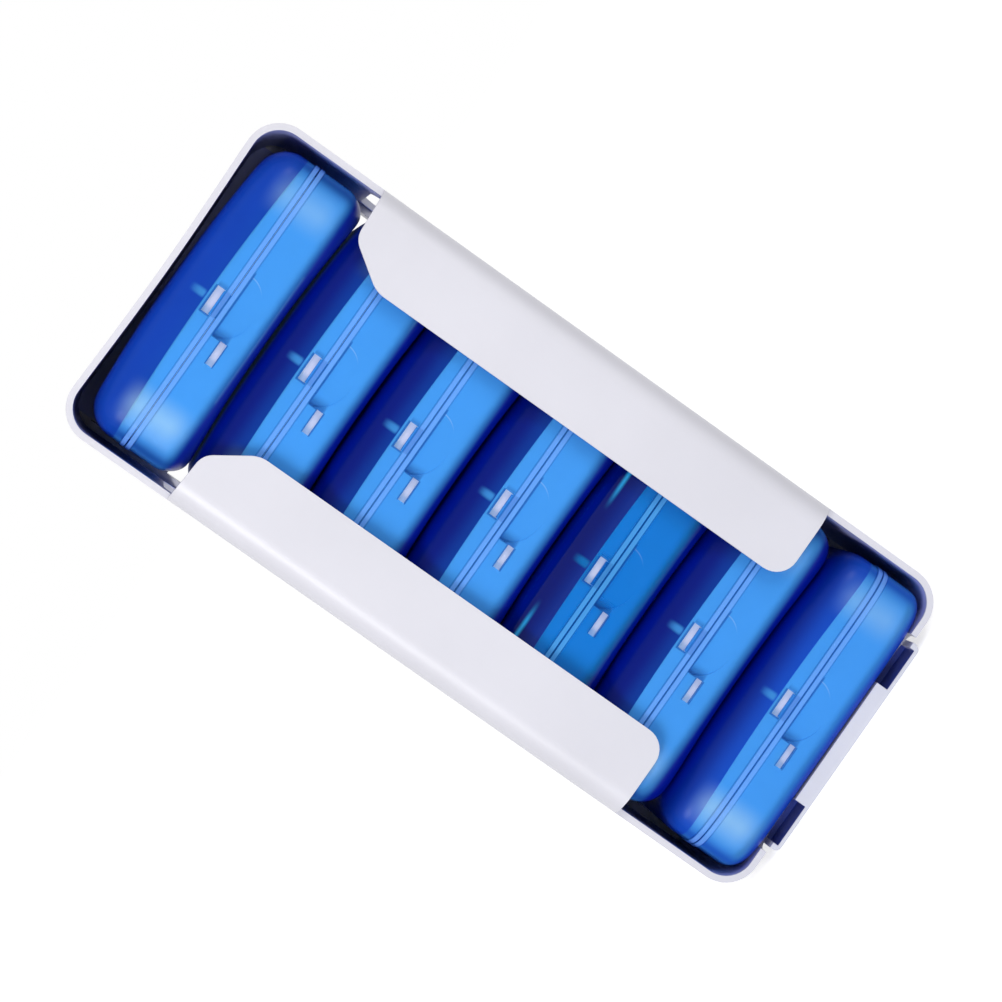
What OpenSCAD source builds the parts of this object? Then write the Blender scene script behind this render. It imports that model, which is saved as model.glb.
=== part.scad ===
// Weekly pill tower: an open white rack that holds a stack of seven hinged day boxes.
// Millimetres, +Z up. The origin lies under the middle of the foot and the front faces -Y.
// Each day box is a blue base and lid, hinged on a pin at the back, round a white tray.

/* [Day box] */
// Length of a day box across the rack, without its seam bead
box_w = 64.2; // [58:0.2:80]
// Depth of a day box from front to back, without its seam bead
box_d = 54; // [48:0.5:70]
// Height of the base shell below the seam
base_h = 10.4; // [9.4:0.1:14]
// Height of the lid shell above the seam, at the top of its crown
lid_h = 11.3; // [10.8:0.1:14]
// Radius of the upright corners, seen from above
plan_r = 7; // [5:0.2:10]
// Radius of the base's lower edges at its two ends
base_end_r = 4.2; // [3.6:0.1:6]
// Radius of the base's lower edges at front and back
base_front_r = 3.2; // [3:0.1:5]
// Radius of the lid's upper edges
lid_r = 6.2; // [5.6:0.1:8]
// Rise of the crown along the length of the lid
crown_rise_w = 1; // [0.6:0.1:3.2]
// Rise of the crown along the depth of the lid
crown_rise_d = 1.2; // [0.6:0.1:2]
// Thickness of the base and lid shells
shell_t = 1.4; // [1.2:0.05:1.6]

/* [Seam and latch] */
// Opening left between the closed base and lid
seam_gap = 0.1; // [0.05:0.05:0.2]
// Height of each of the two beads along the seam
bead_h = 1.1; // [0.8:0.05:1.3]
// How far the beads stand out of the shell
bead_out = 0.2; // [0.15:0.05:0.6]
// Width of the lid's latch window
window_w = 5.6; // [4:0.1:8]
// Height of the lid's latch window
window_h = 1.7; // [1.4:0.1:2]
// Plain wall between the seam bead and the latch window
window_sill = 0.25; // [0.1:0.05:0.5]
// Thickness of the latch tongue that rises from the base behind the lid's wall
tongue_t = 0.6; // [0.5:0.05:0.7]
// How far the catch on the tongue stands into the window
catch_out = 0.5; // [0.3:0.05:0.6]
// Radius of the thumb scoop in the base's front
scoop_r = 7; // [6:0.2:8]
// Depth of the thumb scoop
scoop_t = 0.5; // [0.3:0.05:0.7]
// Distance of the scoop's straight side from the middle of the box
scoop_side = 5.5; // [4.5:0.1:6]
// Length of the slot beside the scoop
slot_w = 5; // [4:0.1:7]
// Height of the slot beside the scoop
slot_h = 1.4; // [1:0.1:1.8]
// Depth of the slot's upper edge below the seam
slot_drop = 3.3; // [2.6:0.1:3.8]

/* [Hinge] */
// Radius of the hinge pin
pin_r = 0.75; // [0.6:0.05:0.85]
// Radius of the hinge knuckles
knuckle_r = 1.5; // [1.45:0.05:1.8]
// Length of one of the five knuckles
knuckle_w = 5.8; // [4:0.2:8]
// Distance of the hinge axis behind the back wall of the box
hinge_out = 1.1; // [1:0.05:1.4]

/* [Tray] */
// Thickness of the tray's outer walls
tray_t = 1; // [0.8:0.05:1.2]
// Thickness of the dividers between the compartments
divider_t = 1.1; // [0.8:0.05:1.4]
// Height of the tray's rim above the seam
tray_rim = 3.9; // [3:0.1:4.4]
// Height of the middle divider above the seam
divider_rise = 7.5; // [5:0.1:8]

/* [Rack] */
// Thickness of the rack's walls and flaps
wall_t = 1.3; // [1.2:0.1:2]
// Radius of the rack's outer corners, seen from the front
rack_r = 7; // [5:0.2:8]
// Free space between a day box's bead and each side wall
side_gap = 1.8; // [1:0.1:3]
// Free height above the top day box
top_play = 1.6; // [0.6:0.1:2]
// How far the top and bottom day boxes stand out of the rack's front rim
box_proud = 2; // [1:0.1:3]
// Gap between a day box's bead and the flap in front of it
flap_gap = 1.1; // [0.6:0.1:1.4]
// Outer radius of the bend from the side wall into the flap
flap_bend_r = 5; // [4:0.1:6]
// Reach of each flap across the front, from the side of the rack
flap_reach = 16.7; // [12:0.1:22]
// Height of the open mouth above the flaps, from the rack's top face
mouth_top = 26.2; // [25:0.1:30]
// Height of the open mouth below the flaps, from the rack's bottom face
mouth_bottom = 28.4; // [24.5:0.1:32]
// Reach of the flap's square shoulder, before its edge turns down
shoulder_reach = 10.7; // [8:0.1:11.5]
// Drop of the slanted edge from the flap's top to its straight side
slant_drop = 9.5; // [6:0.1:14]
// Radius at the flap's shoulder
shoulder_r = 4; // [2:0.1:5]
// Radius where the slanted edge meets the straight side
slant_r = 6; // [3:0.1:8]
// Radius of the flap's lower corner
flap_low_r = 4.5; // [2:0.1:5]
// Depth of the side wall left in front of and behind each side window
rail_d = 7; // [6:0.2:10]
// Radius of the side windows' corners
side_window_r = 5; // [3:0.2:7]
// Height of the side window's lower edge above the flap's lower edge
window_rise = 8; // [4:0.5:12]
// Height of the side window's upper edge above the flap's top
window_over = 1.5; // [0:0.1:2.5]
// Free space round the hinges of the top and bottom day boxes in the rack's back plates
hinge_room = 0.8; // [0.5:0.1:1.5]
// Width of the finger notch in the bottom wall
notch_w = 50; // [44:0.5:54]
// Depth of the finger notch from the front rim
notch_d = 8; // [6:0.5:12]
// Radius of the finger notch's inner corners
notch_r = 4; // [2:0.2:5]

/* [Foot] */
// Height of the foot below the rack
foot_h = 1.9; // [1.6:0.1:3]
// Width of the foot across the rack
foot_w = 47.8; // [42:0.2:52]
// Radius of the foot's lower edges
foot_r = 1.4; // [0.8:0.1:1.5]
// Width of the foot's raised middle bar
bar_w = 27.3; // [20:0.1:32]
// Depth of the two recesses beside the bar, from the top of the foot
recess_t = 1.1; // [0.8:0.1:1.2]
// Width of the foot's rim beside each recess
recess_rim = 1.2; // [0.8:0.1:1.6]
// Radius of the foot's fixing pegs
peg_r = 1.5; // [1:0.1:2]

/* [Clearances] */
// Gap between stacked day boxes, and between the lowest one and its floor
stack_gap = 0.3; // [0.25:0.05:0.6]
// Gap between the tray and the shells round it
tray_gap = 0.3; // [0.2:0.05:0.4]
// Radial gap between the hinge pin and its knuckles
pin_gap = 0.05; // [0.02:0.01:0.08]
// Gap beside each knuckle and round each relief
knuckle_gap = 0.2; // [0.15:0.05:0.3]
// Gap round the latch tongue
latch_gap = 0.2; // [0.15:0.05:0.25]
// Gap between a day box and the guide ribs at the back of the rack
guide_gap = 0.3; // [0.25:0.05:0.6]
// Radial gap round the foot's pegs
peg_gap = 0.05; // [0.02:0.01:0.1]

/* [Hidden] */

$fn = 96;
days = 7;                                   // one box for each day of the week
knuckles = 5;                               // three on the base and two on the lid
over = 1;                                   // how far cuts run past the faces they open
arc_steps = 8;                              // straight steps in each rounded corner of a flap

// Day box, about its own seam plane and middle
tray_in = shell_t + tray_gap;               // inset of the tray's outside from the box's outside
bead_w = box_w + 2 * bead_out;
bead_d = box_d + 2 * bead_out;
box_front = -bead_d / 2;
wall_front = -box_d / 2;
hinge_y = box_d / 2 + hinge_out;
window_low = seam_gap / 2 + bead_h + window_sill;
window_top = window_low + window_h;
tongue_w = window_w - 2 * latch_gap;
tongue_top = window_low + window_h / 2;
hinge_w = knuckles * knuckle_w + (knuckles - 1) * knuckle_gap;

// Stack
pitch = base_h + lid_h + stack_gap;

// Rack
rack_w = bead_w + 2 * side_gap + 2 * wall_t;
rack_h = 2 * wall_t + days * pitch + top_play;
rack_side = rack_w / 2;
rim_y = box_front + box_proud + bead_out;
flap_in_y = box_front - flap_gap;
flap_y = flap_in_y - wall_t;
rear_y = -flap_y;
rack_low = foot_h;
rack_top = foot_h + rack_h;
floor_z = foot_h + wall_t;
flap_low = rack_low + mouth_bottom;
flap_top = rack_top - mouth_top;
side_window_front = rim_y + rail_d;
side_window_back = rear_y - rail_d;
rib_t = wall_t / 2 + side_gap - guide_gap;    // a guide rib, from the middle of the side wall inwards
hinge_side = hinge_w / 2 + hinge_room;
hinge_rise = knuckle_r + hinge_room;
peg_spots = [for (x = [-1, 1], y = [rim_y + notch_d + 6, rear_y - 10]) [x * foot_w * 0.36, y]];

function seam_z(day) = floor_z + stack_gap + base_h + (days - day) * pitch;

function unit(v) = v / norm(v);

// Points of a round corner of radius r at p1, on the way from p0 to p2
function corner_arc(p0, p1, p2, r) =
    let (
        a = unit(p0 - p1),
        b = unit(p2 - p1),
        half = acos(a * b) / 2,
        centre = p1 + unit(a + b) * r / sin(half),
        start = p1 + a * r / tan(half) - centre,
        turn = 180 - 2 * half,
        side = sign(cross(p1 - p0, p2 - p1)),
        from = atan2(start[1], start[0]))
    [for (i = [0 : arc_steps]) centre + r * [
        cos(from + side * turn * i / arc_steps),
        sin(from + side * turn * i / arc_steps)]];

// Centre height of the round corner that touches both the crown and the end of a lid profile
function crown_radius(len, rise) = (pow(len / 2 - lid_r, 2) + pow(rise, 2)) / (2 * rise);

module rounded_rect(w, d, r) {
    square([w - 2 * r, d], center = true);
    square([w, d - 2 * r], center = true);
    for (x = [-1, 1], y = [-1, 1])
        translate([x * (w / 2 - r), y * (d / 2 - r)]) circle(r);
}

// Upright slice of the whole box, seen from the front or from the side
module box_profile(len, low_r, rise, inset) {
    half = len / 2;
    low = max(low_r - inset, 0.2);
    crown_r = crown_radius(len, rise);
    crown_z = lid_h - crown_r;
    corner_x = half - lid_r;
    corner_z = crown_z + sqrt(pow(crown_r - lid_r, 2) - pow(corner_x, 2));
    touch_x = corner_x * crown_r / (crown_r - lid_r);
    intersection() {
        translate([0, crown_z]) circle(crown_r - inset, $fn = 360);
        translate([-touch_x, -seam_gap]) square([2 * touch_x, lid_h + seam_gap]);
    }
    for (x = [-1, 1]) translate([x * corner_x, corner_z]) circle(lid_r - inset);
    translate([inset - half, -seam_gap]) square([len - 2 * inset, corner_z + seam_gap]);
    intersection() {
        rounded_rect(len - 2 * inset, 2 * (base_h - inset), low);
        translate([-half, -base_h]) square([len, base_h]);
    }
}

// The whole box from base to crown, drawn in by inset on every side
module box_form(inset) {
    intersection() {
        translate([0, 0, -base_h])
            linear_extrude(base_h + lid_h)
                rounded_rect(box_w - 2 * inset, box_d - 2 * inset, plan_r - inset);
        rotate([90, 0, 0])
            linear_extrude(box_d + over, center = true)
                box_profile(box_w, base_end_r, crown_rise_w, inset);
        rotate([90, 0, 90])
            linear_extrude(box_w + over, center = true)
                box_profile(box_d, base_front_r, crown_rise_d, inset);
    }
}

// Everything between two heights
module slab(low, high) {
    translate([-box_w, -box_d, low]) cube([2 * box_w, 2 * box_d, high - low]);
}

// The bead that runs round one edge of the seam
module bead(low) {
    translate([0, 0, low])
        linear_extrude(bead_h)
            difference() {
                rounded_rect(bead_w, bead_d, plan_r + bead_out);
                rounded_rect(box_w - shell_t, box_d - shell_t, plan_r - shell_t / 2);
            }
}

// Middle of a knuckle along the hinge, counted from 0
function knuckle_x(i) = (i - (knuckles - 1) / 2) * (knuckle_w + knuckle_gap);

module across(x, r, len) {
    translate([x, hinge_y, 0]) rotate([0, 90, 0]) cylinder(r = r, h = len, center = true);
}

// Knuckles with their webs; up is 1 for the lid and -1 for the base
module knuckle_row(first, up) {
    for (i = [first : 2 : knuckles - 1]) {
        across(knuckle_x(i), knuckle_r, knuckle_w);
        web_low = up > 0 ? seam_gap / 2 : -knuckle_r;
        translate([knuckle_x(i) - knuckle_w / 2, box_d / 2 - shell_t / 2, web_low])
            cube([knuckle_w, hinge_out + shell_t / 2, knuckle_r - seam_gap / 2]);
    }
}

// Room for the other shell's knuckles
module knuckle_relief(first) {
    for (i = [first : 2 : knuckles - 1])
        across(knuckle_x(i), knuckle_r + knuckle_gap, knuckle_w + 2 * knuckle_gap);
}

module pin_bore() {
    across(0, pin_r + pin_gap, hinge_w + 2 * over);
}

// Cuts through or into the front wall, drawn as seen from the front
module front_cut(depth) {
    translate([0, wall_front + depth, 0])
        rotate([90, 0, 0])
            linear_extrude(depth + over) children();
}

module scoop() {
    scoop_top = -seam_gap / 2 - bead_h;
    front_cut(scoop_t)
        intersection() {
            translate([scoop_r - scoop_side - 0.7, scoop_top]) circle(scoop_r);
            translate([-scoop_side, scoop_top - scoop_r - over]) square([4 * scoop_r, scoop_r + over]);
        }
}

module latch_tongue() {
    back = wall_front + shell_t;
    tongue_low = -2 * bead_h;
    translate([-tongue_w / 2, back - tongue_t, tongue_low])
        cube([tongue_w, tongue_t, tongue_top - tongue_low]);
    catch_low = window_low + latch_gap;
    translate([-tongue_w / 2, back - tongue_t - catch_out, catch_low])
        cube([tongue_w, catch_out + tongue_t / 2, tongue_top - catch_low]);
}

module base_shell() {
    difference() {
        union() {
            intersection() {
                box_form(0);
                slab(-base_h, -seam_gap / 2);
            }
            bead(-seam_gap / 2 - bead_h);
            knuckle_row(0, -1);
        }
        difference() {
            box_form(shell_t);
            slab(over, lid_h);
        }
        knuckle_relief(1);
        pin_bore();
        scoop();
        front_cut(shell_t + over)
            translate([-scoop_side - slot_w, -slot_drop - slot_h]) square([slot_w, slot_h]);
    }
    latch_tongue();
}

module lid_shell() {
    difference() {
        union() {
            intersection() {
                box_form(0);
                slab(seam_gap / 2, lid_h);
            }
            bead(seam_gap / 2);
            knuckle_row(1, 1);
        }
        difference() {
            box_form(shell_t);
            slab(-base_h, -over);
        }
        knuckle_relief(0);
        pin_bore();
        front_cut(shell_t + over)
            translate([-window_w / 2, window_low]) square([window_w, window_h]);
        translate([-window_w / 2, wall_front + shell_t - tongue_t - latch_gap, -over])
            cube([window_w, tongue_t + latch_gap + over, window_top + over]);
    }
}

module tray_body() {
    difference() {
        intersection() {
            box_form(tray_in);
            slab(-base_h, tray_rim);
        }
        box_form(tray_in + tray_t);
    }
    intersection() {
        box_form(tray_in);
        union() {
            translate([-divider_t / 2, -box_d / 2, -base_h])
                cube([divider_t, box_d, base_h + divider_rise]);
            translate([-box_w / 2, -divider_t / 2, -base_h])
                cube([box_w, divider_t, base_h + tray_rim]);
        }
    }
}

module day_base(day) {
    color([0.12, 0.42, 0.93]) translate([0, 0, seam_z(day)]) base_shell();
}

module day_lid(day) {
    color([0.10, 0.34, 0.85]) translate([0, 0, seam_z(day)]) lid_shell();
}

module day_tray(day) {
    color([0.93, 0.94, 0.98]) translate([0, 0, seam_z(day)]) tray_body();
}

module day_hinge_pin(day) {
    color([0.72, 0.73, 0.76]) translate([0, 0, seam_z(day)]) across(0, pin_r, hinge_w);
}

// Bend and front of one flap, seen from above
module flap_plan() {
    bend_x = rack_side - flap_bend_r;
    bend_y = flap_y + flap_bend_r;
    translate([bend_x, bend_y])
        intersection() {
            difference() {
                circle(flap_bend_r);
                circle(flap_bend_r - wall_t);
            }
            translate([0, -flap_bend_r]) square(flap_bend_r);
        }
    translate([0, flap_y]) square([bend_x, wall_t]);
    translate([rack_side - wall_t, bend_y]) square([wall_t, rim_y + over - bend_y]);
}

// Outline of one flap, seen from the front
module flap_outline() {
    straight_x = rack_side - flap_reach;
    shoulder = [rack_side - shoulder_reach, flap_top - 0.7];
    slant = [straight_x, flap_top - slant_drop];
    low = [straight_x, flap_low];
    root = [rack_side + over, flap_top];
    base = [rack_side + over, flap_low];
    polygon(concat(
        [root],
        corner_arc(root, shoulder, slant, shoulder_r),
        corner_arc(shoulder, slant, low, slant_r),
        corner_arc(slant, low, base, flap_low_r),
        [base]));
}

module flap() {
    intersection() {
        translate([0, 0, flap_low]) linear_extrude(flap_top - flap_low) flap_plan();
        translate([0, rim_y + 2 * over, 0])
            rotate([90, 0, 0])
                linear_extrude(rim_y - flap_y + 4 * over) flap_outline();
    }
}

// Front view of the rack's four walls
module rack_ring() {
    translate([0, rack_low + rack_h / 2])
        difference() {
            rounded_rect(rack_w, rack_h, rack_r);
            rounded_rect(rack_w - 2 * wall_t, rack_h - 2 * wall_t, rack_r - wall_t);
        }
}

// The rack's back plates: one behind the top day box and one behind the bottom day box.
// Between them the back is open, and a channel runs down the middle for the hinges.
module back_plates() {
    low_edge = seam_z(days) + lid_h;
    high_edge = seam_z(1) - base_h;
    hinge_low = seam_z(days) - hinge_rise;
    hinge_high = seam_z(1) + hinge_rise;
    translate([0, rear_y, 0])
        rotate([90, 0, 0])
            linear_extrude(wall_t)
                difference() {
                    translate([0, rack_low + rack_h / 2])
                        rounded_rect(rack_w - wall_t, rack_h - wall_t, rack_r - wall_t / 2);
                    translate([-rack_side, low_edge]) square([rack_w, high_edge - low_edge]);
                    translate([-hinge_side, hinge_low]) square([2 * hinge_side, hinge_high - hinge_low]);
                }
}

module side_windows() {
    low = flap_low + window_rise;
    high = flap_top + window_over;
    mid_y = (side_window_front + side_window_back) / 2;
    translate([0, mid_y, (low + high) / 2])
        rotate([90, 0, 90])
            linear_extrude(rack_w + 2 * over, center = true)
                rounded_rect(side_window_back - side_window_front, high - low, side_window_r);
}

module finger_notch() {
    translate([0, rim_y, rack_low - over])
        linear_extrude(wall_t + 2 * over)
            rounded_rect(notch_w, 2 * notch_d, notch_r);
}

module holder_frame() {
    color([0.87, 0.87, 0.91])
        difference() {
            union() {
                translate([0, rear_y, 0])
                    rotate([90, 0, 0])
                        linear_extrude(rear_y - rim_y) rack_ring();
                back_plates();
                flap();
                mirror([1, 0, 0]) flap();
                for (x = [-1, 1])
                    translate([x * (rack_side - wall_t / 2 - rib_t / 2), rear_y - rail_d / 2,
                        rack_low + rack_h / 2])
                        cube([rib_t, rail_d, rack_h - 2 * rack_r], center = true);
            }
            side_windows();
            finger_notch();
            for (p = peg_spots)
                translate([p[0], p[1], rack_low - over])
                    cylinder(r = peg_r + peg_gap, h = wall_t + 2 * over);
        }
}

module foot_plate() {
    recess_w = (foot_w - bar_w) / 2 - recess_rim;
    color([0.86, 0.88, 0.93]) {
        difference() {
            translate([0, rear_y, 0])
                rotate([90, 0, 0])
                    linear_extrude(rear_y - rim_y)
                        intersection() {
                            rounded_rect(foot_w, 2 * foot_h, foot_r);
                            translate([-foot_w / 2, 0]) square([foot_w, foot_h]);
                        }
            for (x = [-1, 1])
                translate([x * (bar_w + recess_w) / 2, rim_y - over, foot_h - recess_t])
                    translate([-recess_w / 2, 0, 0])
                        cube([recess_w, notch_d + over, recess_t + over]);
        }
        translate([-bar_w / 2, rim_y, foot_h / 2])
            cube([bar_w, notch_d - tray_gap, floor_z - foot_h / 2]);
        for (p = peg_spots)
            translate([p[0], p[1], foot_h / 2]) cylinder(r = peg_r, h = floor_z - foot_h / 2);
    }
}

holder_frame();
foot_plate();
day_base(1);  // day1_base
day_lid(1);  // day1_lid
day_tray(1);  // day1_tray
day_hinge_pin(1);  // day1_hinge_pin
day_base(2);  // day2_base
day_lid(2);  // day2_lid
day_tray(2);  // day2_tray
day_hinge_pin(2);  // day2_hinge_pin
day_base(3);  // day3_base
day_lid(3);  // day3_lid
day_tray(3);  // day3_tray
day_hinge_pin(3);  // day3_hinge_pin
day_base(4);  // day4_base
day_lid(4);  // day4_lid
day_tray(4);  // day4_tray
day_hinge_pin(4);  // day4_hinge_pin
day_base(5);  // day5_base
day_lid(5);  // day5_lid
day_tray(5);  // day5_tray
day_hinge_pin(5);  // day5_hinge_pin
day_base(6);  // day6_base
day_lid(6);  // day6_lid
day_tray(6);  // day6_tray
day_hinge_pin(6);  // day6_hinge_pin
day_base(7);  // day7_base
day_lid(7);  // day7_lid
day_tray(7);  // day7_tray
day_hinge_pin(7);  // day7_hinge_pin
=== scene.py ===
# %% [markdown]
# # A weekly pill tower
# This lesson dresses a white rack that holds seven blue day boxes, one for each day of the week. Every box
# is a small clamshell: a translucent base and lid, a hinge with a steel pin at the back, and a white tray
# with four compartments inside. The shapes and places come from an exact CAD model, the frame. Here each
# piece gets the soft edges, the curved walls and the plastics of the real one.

# %% Load the frame
from math import cos, pi, radians, sin, sqrt

import bmesh
import bpy
from mathutils import Matrix, Vector


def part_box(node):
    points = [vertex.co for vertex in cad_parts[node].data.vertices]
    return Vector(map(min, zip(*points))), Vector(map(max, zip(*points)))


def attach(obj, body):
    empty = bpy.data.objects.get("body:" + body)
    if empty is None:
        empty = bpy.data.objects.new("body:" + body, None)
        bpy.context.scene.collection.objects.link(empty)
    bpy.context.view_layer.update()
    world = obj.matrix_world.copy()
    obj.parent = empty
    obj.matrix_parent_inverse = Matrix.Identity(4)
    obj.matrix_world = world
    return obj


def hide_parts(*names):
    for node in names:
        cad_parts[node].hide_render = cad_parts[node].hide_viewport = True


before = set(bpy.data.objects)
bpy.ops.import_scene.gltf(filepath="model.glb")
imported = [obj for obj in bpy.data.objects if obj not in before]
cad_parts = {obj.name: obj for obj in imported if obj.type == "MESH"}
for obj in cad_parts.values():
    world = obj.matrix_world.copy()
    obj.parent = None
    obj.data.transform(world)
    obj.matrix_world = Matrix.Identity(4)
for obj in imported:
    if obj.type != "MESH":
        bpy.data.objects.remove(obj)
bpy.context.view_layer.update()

MM = 0.001
DAYS = range(1, 8)

# %% [markdown]
# ## Sizes
# A day box is 64.2 mm long and 54 mm deep. Its seam lies 10.4 mm above its underside, and its crown 11.3 mm
# above the seam. The boxes are alike, so one box is modelled round its own seam and then copied to seven
# heights. The heights aren't typed in: they are read from the frame, so they can't drift. All sizes are in
# mm, and become metres where a mesh is made.

# %% Sizes of one box, and the height of each seam
HALF_W, HALF_D = 32.1, 27.0
BASE_H, LID_H = 10.4, 11.3
LID_ARC = 6.2
SHELL = 1.4
TRAY_IN = 1.7
BEAD_H, BEAD_OUT = 1.1, 0.2
SEAM = 0.05
HINGE_Y = 28.1
seam_z = {day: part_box(f"day{day}_base")[0][2] / MM + BASE_H for day in DAYS}
pitch = seam_z[1] - seam_z[2]
print("seams in mm:", [round(seam_z[day], 2) for day in DAYS], "pitch", round(pitch, 2))

# %% [markdown]
# ## Small helpers for node trees
# Both materials and geometry are made with nodes here. A node tree built in a script is easier to read when
# one line makes a node, sets its plain values and links its inputs. Two more helpers start and end a tree of
# Geometry Nodes: its inputs get names, and it ends in real geometry with a material.

# %% Node helpers
def add(tree, kind, inputs=None, **settings):
    made = tree.nodes.new(kind)
    for key, value in settings.items():
        setattr(made, key, value)
    for key, value in (inputs or {}).items():
        if isinstance(value, bpy.types.NodeSocket):
            tree.links.new(value, made.inputs[key])
        else:
            made.inputs[key].default_value = value
    return made


def maths(tree, operation, *values):
    made = add(tree, "ShaderNodeMath", dict(enumerate(values)), operation=operation)
    return made.outputs[0]


def start_tree(name, inputs, output):
    """A new tree, the identifiers of its inputs, and the sockets that they arrive at."""
    tree = bpy.data.node_groups.new(name, "GeometryNodeTree")
    identifiers = {}
    for label, kind in inputs.items():
        made = tree.interface.new_socket(name=label, in_out="INPUT", socket_type="NodeSocket" + kind)
        identifiers[label] = made.identifier
    tree.interface.new_socket(name=output, in_out="OUTPUT", socket_type="NodeSocketGeometry")
    return tree, identifiers, tree.nodes.new("NodeGroupInput").outputs


def end_tree(tree, geometry, finish):
    real = add(tree, "GeometryNodeRealizeInstances", {0: geometry})
    finished = add(tree, "GeometryNodeSetMaterial", {"Geometry": real.outputs[0], "Material": finish})
    add(tree, "NodeGroupOutput", {0: finished.outputs[0]})


print("helpers ready")

# %% [markdown]
# ## The loft: one rule for every moulded shell
# Base, lid and tray are all rounded boxes. Seen from above, each is a squarish oval called a superellipse,
# and from the side each has its own section. So their shape follows a rule: take a section, drawn as a row
# of stations, and sweep it round a superellipse. Geometry Nodes do that well, because the same tree makes
# every shell, and also the round pins when the oval's exponent is 2. The tree starts from a flat grid with
# one row for each station and moves every point to its place. The corners get more points than the sides.
# The crown is a gentle dome: how far it falls towards the ends, and towards front and back, are inputs too.

# %% Build the loft tree
def loft_tree():
    tree, sockets, given = start_tree("shell loft", {
        "Section": "Geometry", "Around": "Int", "Squareness": "Float", "Crowding": "Float",
        "Fall at ends": "Float", "Fall at sides": "Float", "Finish": "Material"}, "Shell")
    section = given["Section"]
    stations = add(tree, "GeometryNodeAttributeDomainSize", {0: section}, component="MESH").outputs["Point Count"]
    across = maths(tree, "ADD", given["Around"], 1.0)
    grid = add(tree, "GeometryNodeMeshGrid", {"Vertices X": stations, "Vertices Y": across})

    # Where a point lies: its station is its row in the grid, and its turn round the oval is its column.
    index = add(tree, "GeometryNodeInputIndex").outputs[0]
    row = maths(tree, "FLOOR", maths(tree, "DIVIDE", maths(tree, "ADD", index, 0.5), across))
    column = maths(tree, "SUBTRACT", index, maths(tree, "MULTIPLY", row, across))
    turn = maths(tree, "DIVIDE", maths(tree, "MULTIPLY", column, 2 * pi), given["Around"])
    crowd = maths(tree, "MULTIPLY", maths(tree, "SINE", maths(tree, "MULTIPLY", turn, 4.0)), given["Crowding"])
    angle = maths(tree, "ADD", turn, maths(tree, "DIVIDE", crowd, 4.0))

    # The superellipse: how far a point reaches across and deep at this angle.
    c, s = maths(tree, "COSINE", angle), maths(tree, "SINE", angle)
    powers = [maths(tree, "POWER", maths(tree, "ABSOLUTE", v), given["Squareness"]) for v in (c, s)]
    reach = maths(tree, "POWER", maths(tree, "ADD", *powers),
                  maths(tree, "DIVIDE", -1.0, given["Squareness"]))
    ux, uy = maths(tree, "MULTIPLY", c, reach), maths(tree, "MULTIPLY", s, reach)

    # What the section holds at this row: the station's place, and its share of the crown's fall.
    spot = add(tree, "GeometryNodeInputPosition").outputs[0]
    share = add(tree, "GeometryNodeInputNamedAttribute", {"Name": "crown_share"}, data_type="FLOAT").outputs[0]
    spot, share = [add(tree, "GeometryNodeSampleIndex", {0: section, 1: value, "Index": row}, data_type=kind,
                       domain="POINT").outputs[0] for value, kind in ((spot, "FLOAT_VECTOR"), (share, "FLOAT"))]
    station = add(tree, "ShaderNodeSeparateXYZ", {0: spot}).outputs
    falls = [maths(tree, "POWER", maths(tree, "MULTIPLY", maths(tree, "MULTIPLY", u, u), given[fall]), 2.0)
             for u, fall in ((ux, "Fall at ends"), (uy, "Fall at sides"))]
    fall = maths(tree, "MULTIPLY", maths(tree, "SQRT", maths(tree, "ADD", *falls)), share)

    moved = add(tree, "ShaderNodeCombineXYZ", {0: maths(tree, "MULTIPLY", station[0], ux),
                                               1: maths(tree, "MULTIPLY", station[1], uy),
                                               2: maths(tree, "SUBTRACT", station[2], fall)})
    shaped = add(tree, "GeometryNodeSetPosition", {"Geometry": grid.outputs["Mesh"], "Position": moved.outputs[0]})
    closed = add(tree, "GeometryNodeMergeByDistance", {"Geometry": shaped.outputs[0], "Distance": 1e-6})
    end_tree(tree, closed.outputs[0], given["Finish"])
    return tree, sockets


shell_loft, loft_input = loft_tree()
print("loft tree:", len(shell_loft.nodes), "nodes")

# %% [markdown]
# A tree needs an object to run on. The next helper makes a throwaway object whose mesh is the section, gives
# it the tree as a modifier, sets the inputs by their identifiers, and takes the result as a plain mesh. The
# mesh then gets its normals pointed outwards and its sharp edges marked by angle.

# %% Run a tree and keep a plain mesh
SHARP_FROM = 35


def new_object(name, data):
    thing = bpy.data.objects.new(name, data)
    bpy.context.scene.collection.objects.link(thing)
    return thing


def plain_mesh(thing, name):
    graph = bpy.context.evaluated_depsgraph_get()
    mesh = bpy.data.meshes.new_from_object(thing.evaluated_get(graph), depsgraph=graph)
    mesh.name = name
    return mesh


def tidy(mesh):
    """Closes the mesh, turns its faces outwards and marks its sharp edges. Returns how many edges stay open."""
    form = bmesh.new()
    form.from_mesh(mesh)
    bmesh.ops.remove_doubles(form, verts=form.verts, dist=1e-7)
    bmesh.ops.recalc_face_normals(form, faces=form.faces)
    open_edges = sum(1 for edge in form.edges if len(edge.link_faces) != 2)
    form.to_mesh(mesh)
    form.free()
    mesh.shade_smooth()
    mesh.set_sharp_from_angle(angle=radians(SHARP_FROM))
    return open_edges


def run_tree(name, mesh, tree, identifiers, values):
    thing = new_object(name, mesh)
    modifier = thing.modifiers.new("tree", "NODES")
    modifier.node_group = tree
    for label, value in values.items():
        modifier[identifiers[label]] = value
    made = plain_mesh(thing, name)
    bpy.data.objects.remove(thing)
    return made


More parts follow.
